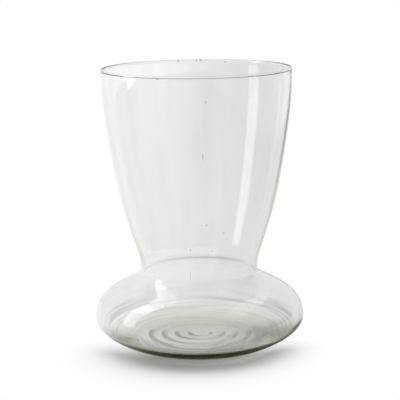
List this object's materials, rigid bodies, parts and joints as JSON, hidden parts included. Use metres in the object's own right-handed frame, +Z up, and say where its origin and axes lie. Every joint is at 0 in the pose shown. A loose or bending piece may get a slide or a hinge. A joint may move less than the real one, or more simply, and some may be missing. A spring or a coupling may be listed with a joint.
{
  "type": "hyacinth forcing vase",
  "caption": "Clear glass vase for forcing a hyacinth bulb: a tall flared cup over a tight waist that seats the bulb, on a flattened round water reservoir.",
  "frame": {"origin": "centre of the foot, on the surface the vase stands on", "axes": "+Z up along the vase's axis of revolution, towards the mouth"},
  "size_m": [0.107, 0.107, 0.142],
  "materials": {
    "clear_glass": "clear blown soda glass with a faint grey-green cast, fire-polished"
  },
  "bodies": {
    "root": {"base": "clear_glass", "reservoir": "clear_glass", "shoulder": "clear_glass", "waist": "clear_glass", "lower_cup": "clear_glass", "upper_cup": "clear_glass", "rim": "clear_glass"}
  },
  "joints": []
}
